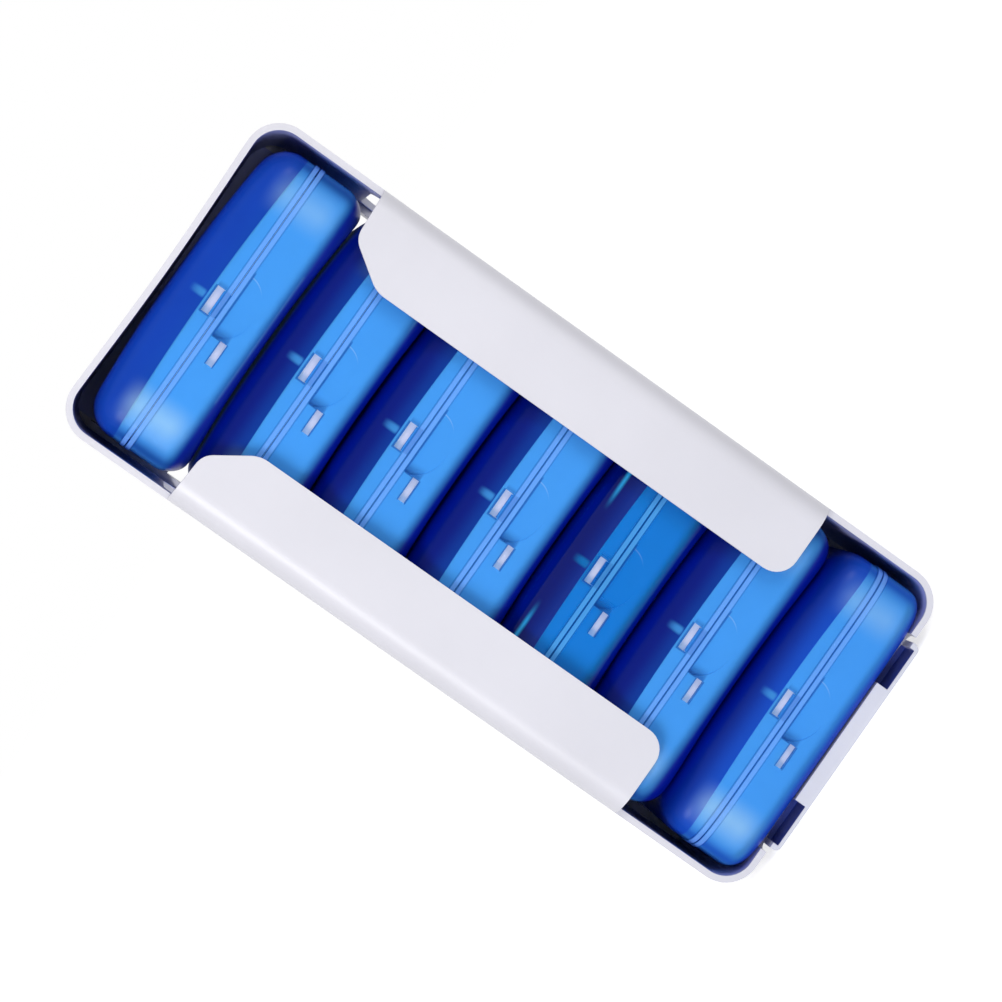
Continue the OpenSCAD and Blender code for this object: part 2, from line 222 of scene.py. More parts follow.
def loft(name, stations, around=144, squareness=9.0, crowding=0.7, falls=(0.0, 0.0)):
    section = bpy.data.meshes.new(name + " section")
    section.from_pydata([Vector(s[:3]) * MM for s in stations], [], [])
    share = section.attributes.new("crown_share", "FLOAT", "POINT")
    share.data.foreach_set("value", [s[3] if len(s) > 3 else 0.0 for s in stations])
    mesh = run_tree(name, section, shell_loft, loft_input, {
        "Around": around, "Squareness": squareness, "Crowding": crowding,
        "Fall at ends": falls[0] * MM, "Fall at sides": falls[1] * MM})
    open_edges = tidy(mesh)
    print(f"{name}: {len(mesh.polygons)} faces, {open_edges} open edges")
    return mesh


print("tree runner ready")

# %% [markdown]
# ## Cutting and joining
# A latch window, a slot and a thumb scoop are holes and hollows with crisp edges. Cutting them with a
# Boolean modifier keeps the wall round them true, which moving single points wouldn't. The cutters are
# prisms: a flat outline pushed along one direction. The same prisms, joined instead of cut, make the latch
# tongue, the webs of the hinge and the dividers of the tray.

# %% Prisms and Booleans
AXIS_ORDER = {"z": lambda a, b, c: (a, b, c), "y": lambda a, b, c: (a, c, b), "x": lambda a, b, c: (c, a, b)}


def prism(outline, low, high, normal, lift=None):
    """A closed prism. normal names the direction that the outline is pushed along, and lift shapes its low end."""
    turned, count = AXIS_ORDER[normal], len(outline)
    points = [turned(a, b, lift(a, b) if lift else low) for a, b in outline]
    points += [turned(a, b, high) for a, b in outline]
    faces = [list(range(count)), list(range(count, 2 * count))]
    faces += [[i, (i + 1) % count, count + (i + 1) % count, count + i] for i in range(count)]
    mesh = bpy.data.meshes.new("prism")
    mesh.from_pydata([Vector(p) * MM for p in points], [], faces)
    tidy(mesh)
    return mesh


def rectangle(x0, z0, x1, z1):
    return [(x0, z0), (x1, z0), (x1, z1), (x0, z1)]


def arc(x, z, r, start, end, steps):
    return [(x + r * cos(radians(start + (end - start) * i / steps)),
             z + r * sin(radians(start + (end - start) * i / steps))) for i in range(steps + 1)]


def circle(x, z, r):
    return arc(x, z, r, 0, 345, 23)


def combine(mesh, others, operation):
    """Cuts the other meshes out of this one, or joins them to it."""
    body, tools = new_object("body", mesh), [new_object("tool", other) for other in others]
    for tool in tools:
        modifier = body.modifiers.new("boolean", "BOOLEAN")
        modifier.operation, modifier.object, modifier.solver = operation, tool, "EXACT"
    made = plain_mesh(body, mesh.name)
    for thing in [body] + tools:
        bpy.data.objects.remove(thing)
    tidy(made)
    return made


print("cutters ready")

# %% [markdown]
# ## The base
# The base is a shallow bowl with soft lower edges and a bead along its rim. Its section is one closed line:
# from the middle of the underside out round the edge, up the wall, over the bead, and back down inside.
# Each station holds how far the section reaches across and deep, how high it is there, and a share of the
# fall towards the ends. The boxes nest: an underside bows down at both ends, as the crown under it does, so
# hardly any air shows between two boxes. The lowest box stands on the flat rack, so its underside is flat.

# %% Base section
BEAD_ROUND = 0.18
BASE_EDGE, LEAST_EDGE = (4.2, 3.2, 3.7), 0.8
CROWN_FALL = 1.3


def bead_stations(side):
    """The bead beside the seam, from the wall to the seam; side is 1 for the lid and -1 for the base."""
    r = BEAD_ROUND
    turns = [(r * sin(radians(a)), r * cos(radians(a))) for a in (0, 30, 60, 90)]
    rows = [(0.0, BEAD_H + SEAM)]
    rows += [(BEAD_OUT - r + s, BEAD_H + SEAM - r + c) for s, c in turns]
    rows += [(BEAD_OUT - r + c, SEAM + r - s) for s, c in turns]
    return [(HALF_W + out, HALF_D + out, side * up, 0.0) for out, up in rows]


def bowl(inset, top, reverse=False, bow=0.0):
    """Stations of the base's form, drawn in by inset, from the middle of the floor up to top."""
    rx, ry, rz = (max(r - inset, LEAST_EDGE) for r in BASE_EDGE)
    x, y, low = HALF_W - inset, HALF_D - inset, -BASE_H + inset
    rows = [((x - rx) * k, (y - ry) * k, low, bow * k * k) for k in (0.0, 0.3, 0.6, 0.85)]
    rows += [(x - rx * (1 - sin(radians(a))), y - ry * (1 - sin(radians(a))), low + rz * (1 - cos(radians(a))),
              bow * cos(radians(a)) ** 2) for a in range(0, 91, 10)]
    rows += [(x, y, low + rz + (top - low - rz) * k, 0.0) for k in (0.5, 1.0)]
    return rows[::-1] if reverse else rows


def base_section(bow):
    return bowl(0.0, -SEAM - BEAD_H - 0.3, bow=bow) + bead_stations(-1) + bowl(SHELL, -SEAM, reverse=True)


nesting_bowl = loft("nesting bowl", base_section(1.0), falls=(CROWN_FALL, 0.0))
lowest_bowl = loft("lowest bowl", base_section(0.0))

# %% [markdown]
# ## The lid
# The lid is the same kind of shell, upside down and taller. Its edges turn in with a 6.2 mm radius, and its
# top swells into a crown that falls 1.3 mm towards the two ends and 0.4 mm towards front and back. The
# last number of a station says how much of that fall it takes: all of it in the rounded edge, and a part
# that shrinks to nothing towards the middle of the crown.

# %% Lid section
def dome(inset):
    """Stations of the lid's form, drawn in by inset, from the middle of the crown down its rounded edge."""
    x, y, r = HALF_W - LID_ARC, HALF_D - LID_ARC, LID_ARC - inset
    rows = [(x * k / 10, y * k / 10, LID_H - inset, (k / 10) ** 2) for k in range(10)]
    rows += [(x + r * sin(radians(a)), y + r * sin(radians(a)), LID_H - LID_ARC + r * cos(radians(a)), 1.0)
             for a in range(0, 91, 6)]
    return rows


lid_section = dome(0.0) + bead_stations(1) + [(HALF_W - SHELL, HALF_D - SHELL, SEAM, 0.0)] + dome(SHELL)[::-1]
lid_dome = loft("lid dome", lid_section, falls=(CROWN_FALL, 0.4))

# %% [markdown]
# ## The hinge
# Five knuckles sit in a row along the back: three on the base and two on the lid. One knuckle with its web is
# a short prism with a round hole for the pin. A second small tree repeats it: a row of points, one knuckle
# on each, and the spacing as an input. Real moulded knuckles are alike in just this way.

# %% One knuckle, and the tree that repeats it
KNUCKLE_W, KNUCKLE_R, KNUCKLE_GAP, BORE_R = 5.8, 1.5, 0.2, 0.8
KNUCKLE_STEP = KNUCKLE_W + KNUCKLE_GAP


def knuckle(side):
    """One knuckle and its web; side is 1 for the lid and -1 for the base, as at the bead."""
    web_y = HALF_D - SHELL / 2
    outline = [(web_y, -SEAM)] + arc(HINGE_Y, 0, KNUCKLE_R, 178, -90, 24) + [(web_y, -KNUCKLE_R)]
    body = prism([(y, -side * z) for y, z in outline], -KNUCKLE_W / 2, KNUCKLE_W / 2, normal="x")
    bore = prism(circle(HINGE_Y, 0, BORE_R), -KNUCKLE_W, KNUCKLE_W, normal="x")
    return combine(body, [bore], "DIFFERENCE")


def row_tree():
    tree, sockets, given = start_tree("knuckle row", {
        "Piece": "Geometry", "Count": "Int", "First": "Float", "Step": "Float", "Finish": "Material"}, "Row")
    start, step = [add(tree, "ShaderNodeCombineXYZ", {0: given[label]}).outputs[0] for label in ("First", "Step")]
    line = add(tree, "GeometryNodeMeshLine", {"Count": given["Count"], "Start Location": start, "Offset": step},
               mode="OFFSET")
    placed = add(tree, "GeometryNodeInstanceOnPoints", {"Points": line.outputs[0], "Instance": given["Piece"]})
    end_tree(tree, placed.outputs[0], given["Finish"])
    return tree, sockets


piece_row, row_input = row_tree()
print("row tree:", len(piece_row.nodes), "nodes")

# %% Rows of knuckles, and the room they need
def repeat(name, mesh, count, first):
    """A row of copies, every second place along the hinge, from first on."""
    made = run_tree(name, mesh, piece_row, row_input,
                    {"Count": count, "First": first * MM, "Step": 2 * KNUCKLE_STEP * MM})
    tidy(made)
    return made


def reliefs(count, first):
    """Room in one shell for the knuckles of the other."""
    half = KNUCKLE_W / 2 + KNUCKLE_GAP
    return repeat("reliefs", prism(circle(HINGE_Y, 0, KNUCKLE_R + KNUCKLE_GAP), -half, half, normal="x"), count, first)


BASE_ROW, LID_ROW = (3, -2 * KNUCKLE_STEP), (2, -KNUCKLE_STEP)
base_knuckles = repeat("base knuckles", knuckle(-1), *BASE_ROW)
lid_knuckles = repeat("lid knuckles", knuckle(1), *LID_ROW)
print("knuckles:", len(base_knuckles.polygons), "and", len(lid_knuckles.polygons), "faces")

# %% [markdown]
# ## Latch, scoop and slot
# On the front, a tongue rises from the base behind the lid's wall, and its nose snaps into a small window
# in the lid. Beside it the base has a shallow scoop for a thumb. Its floor slopes: it is deepest at a
# straight step and rises from there to a faint curve on its other sides. Next to the step a narrow slot
# goes right through the wall and shows the white tray.

# %% Sizes on the front wall
FRONT = -HALF_D
THROUGH = (FRONT - 1, FRONT + SHELL + 1)
LATCH_X, LATCH_LOW, LATCH_TOP = 2.8, 1.4, 3.1
TONGUE_X, TONGUE_LOW, TONGUE_TOP = 2.6, -2.4, 1.6
SCOOP_STEP, SCOOP_TOP = -5.5, -SEAM - BEAD_H
SCOOP_X, SCOOP_RX, SCOOP_RZ = 1.0, 6.6, 5.1
SCOOP_END = SCOOP_X + SCOOP_RX
SLOT_END, SLOT_LOW, SLOT_TOP = -10.5, -4.7, -3.3
print("scoop from", SCOOP_STEP, "to", round(SCOOP_END, 2), "mm; slot", round(SCOOP_STEP - SLOT_END, 2), "mm long")

# %% Finish the base
def scoop_floor(x, z):
    """Deepest at the step, and less deep towards the far end and the lower edge."""
    return FRONT + 0.03 + 0.72 * (SCOOP_END - x) / (SCOOP_END - SCOOP_STEP) - 0.34 * (SCOOP_TOP - z) / SCOOP_RZ


def scoop_cutter():
    curve = [(SCOOP_X + SCOOP_RX * cos(radians(a)), SCOOP_TOP - SCOOP_RZ * sin(radians(a))) for a in range(0, 171, 5)]
    drop = SCOOP_RZ * sqrt(1 - ((SCOOP_STEP - SCOOP_X) / SCOOP_RX) ** 2)
    outline = [(SCOOP_STEP, SCOOP_TOP)] + [(x, z) for x, z in curve if x > SCOOP_STEP + 0.05]
    outline.append((SCOOP_STEP, SCOOP_TOP - drop - 0.6))
    return prism(outline, 0, FRONT - 2, normal="y", lift=scoop_floor)


def finish_base(bowl_mesh):
    made = combine(bowl_mesh, [base_knuckles], "UNION")
    made = combine(made, [reliefs(*LID_ROW), scoop_cutter(), slot_cutter], "DIFFERENCE")
    return combine(made, [tongue, nose], "UNION")


slot_cutter = prism(rectangle(SLOT_END, SLOT_LOW, SCOOP_STEP, SLOT_TOP), *THROUGH, normal="y")
tongue = prism(rectangle(-TONGUE_X, TONGUE_LOW, TONGUE_X, TONGUE_TOP), FRONT + 0.8, FRONT + SHELL + 0.05, normal="y")
nose = prism([(FRONT + 0.45, 1.25), (FRONT + 0.45, 1.5), (FRONT + 0.7, TONGUE_TOP), (FRONT + 1.0, TONGUE_TOP),
              (FRONT + 1.0, 1.0)], -TONGUE_X, TONGUE_X, normal="x")
nesting_base, lowest_base = finish_base(nesting_bowl), finish_base(lowest_bowl)
print("bases:", len(nesting_base.polygons), "and", len(lowest_base.polygons), "faces")

# %% Finish the lid
window_cutter = prism(rectangle(-LATCH_X, LATCH_LOW, LATCH_X, LATCH_TOP), *THROUGH, normal="y")
pocket_cutter = prism(rectangle(-LATCH_X, -1.0, LATCH_X, LATCH_TOP), FRONT + 0.6, THROUGH[1], normal="y")
lid_mesh = combine(lid_dome, [lid_knuckles], "UNION")
lid_mesh = combine(lid_mesh, [reliefs(*BASE_ROW), window_cutter, pocket_cutter], "DIFFERENCE")
print("lid:", len(lid_mesh.polygons), "faces")

# %% [markdown]
# ## The tray
# The white tray is the part that holds the pills. Its tub is lofted like the base, 1.7 mm inside it. Its
# rim is highest in the middle of the front and back and falls in a slow bow towards the ends, which shows
# through the blue wall as a curved line. Two dividers are joined in: a low one along the tray and a high
# one across its middle, whose top corners follow the inside of the lid.

# %% Tray tub
RIM, RIM_FALL, RIM_ROUND = 3.9, 1.1, 0.3
TRAY_WALL, TRAY_BOWL_TOP = 1.0, -2.0
TRAY_X, TRAY_Y = HALF_W - TRAY_IN, HALF_D - TRAY_IN


def tray_section():
    """Up the outside, over the rounded rim and down the inside."""
    r, inner = RIM_ROUND, TRAY_WALL
    turns = [(r * (1 - sin(radians(a))), r * (1 - cos(radians(a)))) for a in (0, 30, 60, 90)]
    rim = [(TRAY_X, TRAY_Y, RIM - r, 1.0)]
    rim += [(TRAY_X - c, TRAY_Y - c, RIM - s, 1.0) for s, c in turns[1:]]
    rim += [(TRAY_X - inner + s, TRAY_Y - inner + s, RIM - c, 1.0) for s, c in turns]
    return bowl(TRAY_IN, TRAY_BOWL_TOP) + rim + bowl(TRAY_IN + inner, TRAY_BOWL_TOP, reverse=True)


tray_tub = loft("tray tub", tray_section(), falls=(RIM_FALL, 0.0))

# %% Tray dividers
HALF_DIVIDER = 0.55
reach_x, reach_y, low = TRAY_X - 0.4, TRAY_Y - 0.4, -BASE_H + TRAY_IN + 0.4


def divider_foot(reach, inset):
    """The lower edge of a divider, with its two corners cut off."""
    return [(-reach, low + 1.6), (-reach + inset, low), (reach - inset, low), (reach, low + 1.6)]


tall_side = arc(19.5, 2.8, 5.7, 0, 54, 6)
tall_outline = divider_foot(reach_y, 1.2) + tall_side + [(-y, z) for y, z in tall_side[::-1]]
tall_divider = prism(tall_outline, -HALF_DIVIDER, HALF_DIVIDER, normal="x")
long_top = [(x, RIM - RIM_FALL * (x / TRAY_X) ** 2 - 0.12) for x in (29.6, 24, 18, 12, 6, 0, -6, -12, -18, -24, -29.6)]
long_divider = prism(divider_foot(reach_x, 1.6) + long_top, -HALF_DIVIDER, HALF_DIVIDER, normal="y")
tray_mesh = combine(tray_tub, [tall_divider, long_divider], "UNION")
print("tray:", len(tray_mesh.polygons), "faces")

# %% [markdown]
# ## The hinge pin
# The pin is a 29.8 mm length of drawn steel wire with its ends slightly rounded. The same loft makes it:
# with an exponent of 2 the superellipse is a circle. It is lofted upright and then laid along the hinge.

# %% Hinge pin
HALF_PIN, PIN_R = 14.9, 0.75
pin_end = [(0, 0, -HALF_PIN), (0.45, 0.45, -HALF_PIN), (0.68, 0.68, -HALF_PIN + 0.08), (PIN_R, PIN_R, -HALF_PIN + 0.25)]
pin_section = pin_end + [(PIN_R, PIN_R, z) for z in (-10, -5, 0, 5, 10)] + [(x, y, -z) for x, y, z in pin_end[::-1]]
pin_mesh = loft("pin", pin_section, around=32, squareness=2.0, crowding=0.0)
pin_mesh.transform(Matrix.Translation((0, HINGE_Y * MM, 0)) @ Matrix.Rotation(pi / 2, 4, "Y"))
along = [v.co.x / MM for v in pin_mesh.vertices]
print("pin length in mm:", round(max(along) - min(along), 2))

# %% [markdown]
# ## The rack
# The rack is one white moulding: four walls round the stack, two back plates behind the top and bottom
# boxes, and two flaps that bend round the front and hold the middle boxes. Each wall is a plain outline
# pushed straight through, so prisms make it: an outer and an inner rounded rectangle give the walls, and
# each flap is its bent plan, seen from above, cut to its outline, seen from the front. The top wall dips by
# half a millimetre in its middle, which gives the rim a slight waist. Windows and a finger notch are cut out
# at the end. The outer size is read from the frame.

# %% Outlines with round corners
CORNER_STEPS = 10


def rounded(x, z, width, height, r):
    left, right, low, high = x - width / 2 + r, x + width / 2 - r, z - height / 2 + r, z + height / 2 - r
    return (arc(right, high, r, 0, 90, CORNER_STEPS) + arc(left, high, r, 90, 180, CORNER_STEPS)
            + arc(left, low, r, 180, 270, CORNER_STEPS) + arc(right, low, r, 270, 360, CORNER_STEPS))


def round_corner(before, corner, after, r):
    """Points of a round corner, on the way from one point past a corner to the next."""
    steps = 8
    corner, first, last = Vector(corner), Vector(before) - Vector(corner), Vector(after) - Vector(corner)
    half = first.angle(last) / 2
    middle = corner + (first.normalized() + last.normalized()).normalized() * r / sin(half)
    start = (corner + first.normalized() * r / abs(sin(half) / cos(half))) - middle
    side = 1 if first.x * last.y - first.y * last.x < 0 else -1
    turn = side * (pi - 2 * half) / steps
    return [tuple(middle + Matrix.Rotation(turn * i, 2) @ start) for i in range(steps + 1)]


(_, FLAP_Y, RACK_LOW), (SIDE, REAR_Y, RACK_TOP) = [[v / MM for v in corner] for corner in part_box("holder_frame")]
RACK_WALL, RACK_R, RIM_Y = 1.3, 7.0, -25.0
print("rack in mm: half width", round(SIDE, 2), "low", round(RACK_LOW, 2), "top", round(RACK_TOP, 2))

# %% Walls and back plates
TOP_DIP, DIP_STEPS = 0.55, 8
HINGE_ROOM_X, HINGE_ROOM_Z = 15.7, 2.3


def rack_outline(inset):
    """The four walls seen from the front; the top one dips a little in its middle."""
    corners = rounded(0, (RACK_LOW + RACK_TOP) / 2, 2 * (SIDE - inset), RACK_TOP - RACK_LOW - 2 * inset, RACK_R - inset)
    shares = [k / DIP_STEPS for k in range(DIP_STEPS - 1, -DIP_STEPS, -1)]
    dip = [((SIDE - RACK_R) * k, RACK_TOP - inset - TOP_DIP * (1 - k ** 2) ** 1.4) for k in shares]
    return corners[:CORNER_STEPS + 1] + dip + corners[CORNER_STEPS + 1:]


def rack_walls():
    outer = prism(rack_outline(0), RIM_Y, REAR_Y, normal="y")
    inner = prism(rack_outline(RACK_WALL), RIM_Y - 1, REAR_Y + 1, normal="y")
    return combine(outer, [inner], "DIFFERENCE")


def back_plates():
    """A plate behind the top box and one behind the bottom box, with a channel for their hinges."""
    whole = prism(rack_outline(RACK_WALL / 2), REAR_Y - RACK_WALL, REAR_Y, normal="y")
    open_back = rectangle(-SIDE - 1, seam_z[7] + LID_H, SIDE + 1, seam_z[1] - BASE_H)
    hinges = rectangle(-HINGE_ROOM_X, seam_z[7] - HINGE_ROOM_Z, HINGE_ROOM_X, seam_z[1] + HINGE_ROOM_Z)
    cuts = [prism(outline, REAR_Y - 3, REAR_Y + 1, normal="y") for outline in (open_back, hinges)]
    return combine(whole, cuts, "DIFFERENCE")


walls, plates = rack_walls(), back_plates()
print("walls:", len(walls.polygons), "faces, back plates:", len(plates.polygons))

# %% Flaps and guide ribs
FLAP_LOW, FLAP_TOP, FLAP_REACH, BEND_R = RACK_LOW + 28.4, RACK_TOP - 26.2, 16.7, 5.0
RIB_X, RIB_Y = 32.6, 22.6


def flap(side):
    """The bent plan, run in past the flap's edge, and the outline that it is cut to."""
    bend_x, bend_y, inner_r, past_edge = SIDE - BEND_R, FLAP_Y + BEND_R, BEND_R - RACK_WALL, 10
    plan = [(SIDE, RIM_Y + 1)] + arc(bend_x, bend_y, BEND_R, 0, -90, 12)
    plan += [(past_edge, FLAP_Y), (past_edge, FLAP_Y + RACK_WALL)]
    plan += arc(bend_x, bend_y, inner_r, -90, 0, 12) + [(SIDE - RACK_WALL, RIM_Y + 1)]
    bent = prism([(side * x, y) for x, y in plan], FLAP_LOW, FLAP_TOP, normal="z")
    edge_x = SIDE - FLAP_REACH
    root, shoulder = (SIDE + 1, FLAP_TOP + 0.02), (SIDE - 10.7, FLAP_TOP - 0.7)
    slant, low, base = (edge_x, FLAP_TOP - 9.5), (edge_x, FLAP_LOW), (SIDE + 1, FLAP_LOW)
    outline = [root] + round_corner(root, shoulder, slant, 4.0) + round_corner(shoulder, slant, low, 6.0)
    outline += round_corner(slant, low, base, 4.5) + [base]
    shape = prism([(side * x, z) for x, z in outline], FLAP_Y - 2, RIM_Y + 1.5, normal="y")
    return combine(bent, [shape], "INTERSECT")


def guide_rib(side):
    box = rectangle(side * RIB_X, RIB_Y, side * (SIDE - RACK_WALL / 2), REAR_Y)
    return prism(box, RACK_LOW + 6, RACK_TOP - 6, normal="z")


rack_mesh = combine(walls, [plates, flap(1), flap(-1), guide_rib(1), guide_rib(-1)], "UNION")
print("walls, plates, flaps and ribs:", len(rack_mesh.polygons), "faces")

# %% [markdown]
# Every edge of a moulded part has a small round, which catches the light as a thin bright line. A Bevel
# modifier makes it on all sharp edges at once. Hardened normals keep the flat faces flat in the shading.

# %% Cut the rack's openings and soften its edges
PEGS = [(x, y) for x in (-17.208, 17.208) for y in (-11.0, 19.6)]
PEG_R = 1.5


def soften(mesh, radius):
    thing = new_object(mesh.name, mesh)
    mesh.shade_smooth()
    bevel = thing.modifiers.new("edge radius", "BEVEL")
    bevel.width, bevel.segments, bevel.limit_method = radius * MM, 3, "ANGLE"
    bevel.angle_limit, bevel.harden_normals, bevel.miter_outer = radians(40), True, "MITER_ARC"
    made = plain_mesh(thing, mesh.name)
    bpy.data.objects.remove(thing)
    print(f"softened by {radius} mm: {len(mesh.polygons)} faces before, {len(made.polygons)} after")
    return made


window_low, window_top, window_y, window_d = FLAP_LOW + 8, FLAP_TOP + 1.5, 2.3, 40.6
window = prism(rounded(window_y, (window_low + window_top) / 2, window_d, window_top - window_low, 5.0),
               -SIDE - 2, SIDE + 2, normal="x")
through_floor = (RACK_LOW - 1, RACK_LOW + RACK_WALL + 1)
notch = prism(rounded(0, RIM_Y, 50, 16, 4.0), *through_floor, normal="z")
peg_holes = [prism(circle(x, y, PEG_R + 0.05), *through_floor, normal="z") for x, y in PEGS]
rack_mesh = combine(rack_mesh, [window, notch] + peg_holes, "DIFFERENCE")
rack_mesh.name = "rack"
rack_mesh = soften(rack_mesh, 0.4)

# %% [markdown]
# ## The foot
# The foot is a low plate under the bottom wall. Its middle bar rises into the finger notch, with a shallow
# recess on each side of it, and four short pegs hold it to the rack.

# %% Foot
FOOT_HALF, FOOT_EDGE = 23.9, 1.4
BAR_X, BAR_D = 13.65, 7.7
RECESS_X, RECESS_D, RECESS_Z = 22.7, 8.0, RACK_LOW - 1.1


def foot_shape():
    outline = [(-FOOT_HALF, RACK_LOW), (FOOT_HALF, RACK_LOW)]
    outline += arc(FOOT_HALF - FOOT_EDGE, FOOT_EDGE, FOOT_EDGE, 0, -90, 6)
    outline += arc(-FOOT_HALF + FOOT_EDGE, FOOT_EDGE, FOOT_EDGE, -90, -180, 6)
    plate = prism(outline, RIM_Y, REAR_Y, normal="y")
    recesses = [rectangle(side * BAR_X, RIM_Y - 1, side * RECESS_X, RIM_Y + RECESS_D) for side in (-1, 1)]
    plate = combine(plate, [prism(recess, RECESS_Z, RACK_LOW + 1, normal="z") for recess in recesses], "DIFFERENCE")
    raised = [rectangle(-BAR_X, RIM_Y, BAR_X, RIM_Y + BAR_D)] + [circle(x, y, PEG_R) for x, y in PEGS]
    return combine(plate, [prism(form, RACK_LOW / 2, RACK_LOW + RACK_WALL, normal="z") for form in raised], "UNION")


foot_mesh = foot_shape()
foot_mesh.name = "foot"
foot_mesh = soften(foot_mesh, 0.3)

# %% [markdown]
# ## Plastics and steel
# Every finish is a node tree on object coordinates, so it stays on its piece when a box slides. The helpers
# make the parts that repeat: a soft step, a band between two values, several masks taken together, and one
# colour laid over another.

# %% Helpers for materials
def material(name):
    made = bpy.data.materials.new(name)
    made.use_nodes = True
    made.node_tree.nodes.clear()
    return made, made.node_tree


def axes_in_mm(tree, place):
    parts = add(tree, "ShaderNodeSeparateXYZ", {0: place}).outputs
    return [maths(tree, "MULTIPLY", part, 1000.0) for part in parts]


def ramp(tree, value, low, high):
    """A soft step from 0 to 1 between two values."""
    made = add(tree, "ShaderNodeMapRange", {"Value": value, "From Min": low, "From Max": high},
               interpolation_type="SMOOTHSTEP")
    return made.outputs[0]


def product(tree, *values):
    """All values multiplied. Of masks, it is 1 where every one of them is."""
    made = values[0]
    for value in values[1:]:
        made = maths(tree, "MULTIPLY", made, value)
    return made


def largest(tree, *values):
    """The largest value. Of masks, it is 1 where any one of them is."""
    made = values[0]
    for value in values[1:]:
        made = maths(tree, "MAXIMUM", made, value)
    return made


def radius_of(tree, a, b):
    """How far the point a, b lies from the origin."""
    return maths(tree, "SQRT", maths(tree, "ADD", product(tree, a, a), product(tree, b, b)))


def band(tree, value, low, high, soft):
    """1 between low and high, with soft edges, and 0 outside."""
    return product(tree, ramp(tree, value, low - soft, low + soft), ramp(tree, value, high + soft, high - soft))


def paint(tree, under, over, share):
    """Lays one colour over another, as far as share says."""
    made = add(tree, "ShaderNodeMix", {0: share}, data_type="RGBA")
    for key, colour in ((6, under), (7, over)):
        if isinstance(colour, bpy.types.NodeSocket):
            tree.links.new(colour, made.inputs[key])
        else:
            made.inputs[key].default_value = colour
    return made.outputs[2]


def noise(tree, place, scale, detail=3.0):
    return add(tree, "ShaderNodeTexNoise", {"Vector": place, "Scale": scale, "Detail": detail}).outputs["Fac"]


def bump(tree, height, strength, distance):
    return add(tree, "ShaderNodeBump", {"Height": height, "Strength": strength, "Distance": distance * MM}).outputs[0]


print("material helpers ready")

# %% [markdown]
# Some tones of a blue box are painted by place, because a thin film has no depth of its own: painted light
# where the tray lies behind the wall, painted shade lines round the window, the slot and the seam, a painted
# highlight on the edge of the scoop, and a painted reflection of the lamps near both ends of a front. Each is
# a mask: 1 where the tone lies and 0 elsewhere.

# %% Masks on a blue box: painted light where the tray lies behind the wall
def tray_behind(tree, x, y, height, in_front):
    """Painted light that comes back through the wall from the tray: under its bowed rim, above its floor,
    not in the upright corners, and along its high divider.
    """
    off_middle = maths(tree, "ABSOLUTE", x)
    sideways = maths(tree, "POWER", maths(tree, "DIVIDE", x, TRAY_X), 2.0)
    rim = maths(tree, "SUBTRACT", RIM, maths(tree, "MULTIPLY", sideways, RIM_FALL))
    below_rim = ramp(tree, maths(tree, "SUBTRACT", rim, height), -0.12, 0.12)
    corner = product(tree, ramp(tree, off_middle, 27.5, 31.2), ramp(tree, maths(tree, "ABSOLUTE", y), 20.0, 25.0))
    wall = product(tree, below_rim, ramp(tree, height, -9.6, -7.2), maths(tree, "SUBTRACT", 1.0, corner))
    divider = product(tree, ramp(tree, off_middle, 2 * HALF_DIVIDER, 0.2), ramp(tree, height, RIM, 4.6),
                      ramp(tree, height, 7.6, 5.0), in_front)
    return largest(tree, wall, product(tree, divider, 0.85))


print("the tray shows up to", RIM, "mm above the seam, and", round(RIM - RIM_FALL, 2), "mm at its ends")

# %% Masks on a blue box: painted shade lines and painted highlights
def painted_shade_lines(tree, x, height, in_front):
    """Painted shade at the scoop's step, window, slot, tongue's zone, under the bead, and in the seam's grooves."""
    step = product(tree, ramp(tree, x, -TONGUE_X, SCOOP_STEP), ramp(tree, x, SCOOP_STEP - 0.25, SCOOP_STEP - 0.1),
                   band(tree, height, -4.6, -1.2, 0.3))
    beside_window = product(tree, ramp(tree, x, 4.2, LATCH_X), ramp(tree, x, LATCH_X - 0.2, LATCH_X),
                            band(tree, height, LATCH_LOW, LATCH_TOP + 0.1, 0.15))
    window_top_edge = product(tree, band(tree, x, -LATCH_X - 0.3, LATCH_X, 0.08),
                              band(tree, height, LATCH_TOP, LATCH_TOP + 0.4, 0.06))
    window_side_edge = product(tree, band(tree, x, -LATCH_X - 0.35, -LATCH_X, 0.06),
                               band(tree, height, LATCH_LOW - 0.1, LATCH_TOP + 0.35, 0.06))
    off_slot = maths(tree, "ABSOLUTE", maths(tree, "SUBTRACT", height, (SLOT_LOW + SLOT_TOP) / 2))
    slot_half = (SLOT_TOP - SLOT_LOW) / 2
    slot_edges = product(tree, band(tree, x, SLOT_END - 0.1, SCOOP_STEP + 0.1, 0.1),
                         band(tree, off_slot, slot_half, slot_half + 0.25, 0.06))
    tongue_zone = product(tree, band(tree, x, -LATCH_X, LATCH_X, 0.2), band(tree, height, 0.1, LATCH_LOW, 0.1))
    under_bead = product(tree, band(tree, x, SCOOP_STEP, SCOOP_END + 1.0, 0.3),
                         band(tree, height, SCOOP_TOP - 0.35, SCOOP_TOP, 0.08))
    on_front = largest(tree, step, product(tree, beside_window, 0.7), window_top_edge, window_side_edge, slot_edges,
                       product(tree, tongue_zone, 0.35), under_bead)
    off_seam = maths(tree, "ABSOLUTE", height)
    grooves = largest(tree, ramp(tree, off_seam, 0.22, 0.08), band(tree, off_seam, 1.16, 1.3, 0.07))
    return largest(tree, product(tree, on_front, in_front), product(tree, grooves, 0.6))


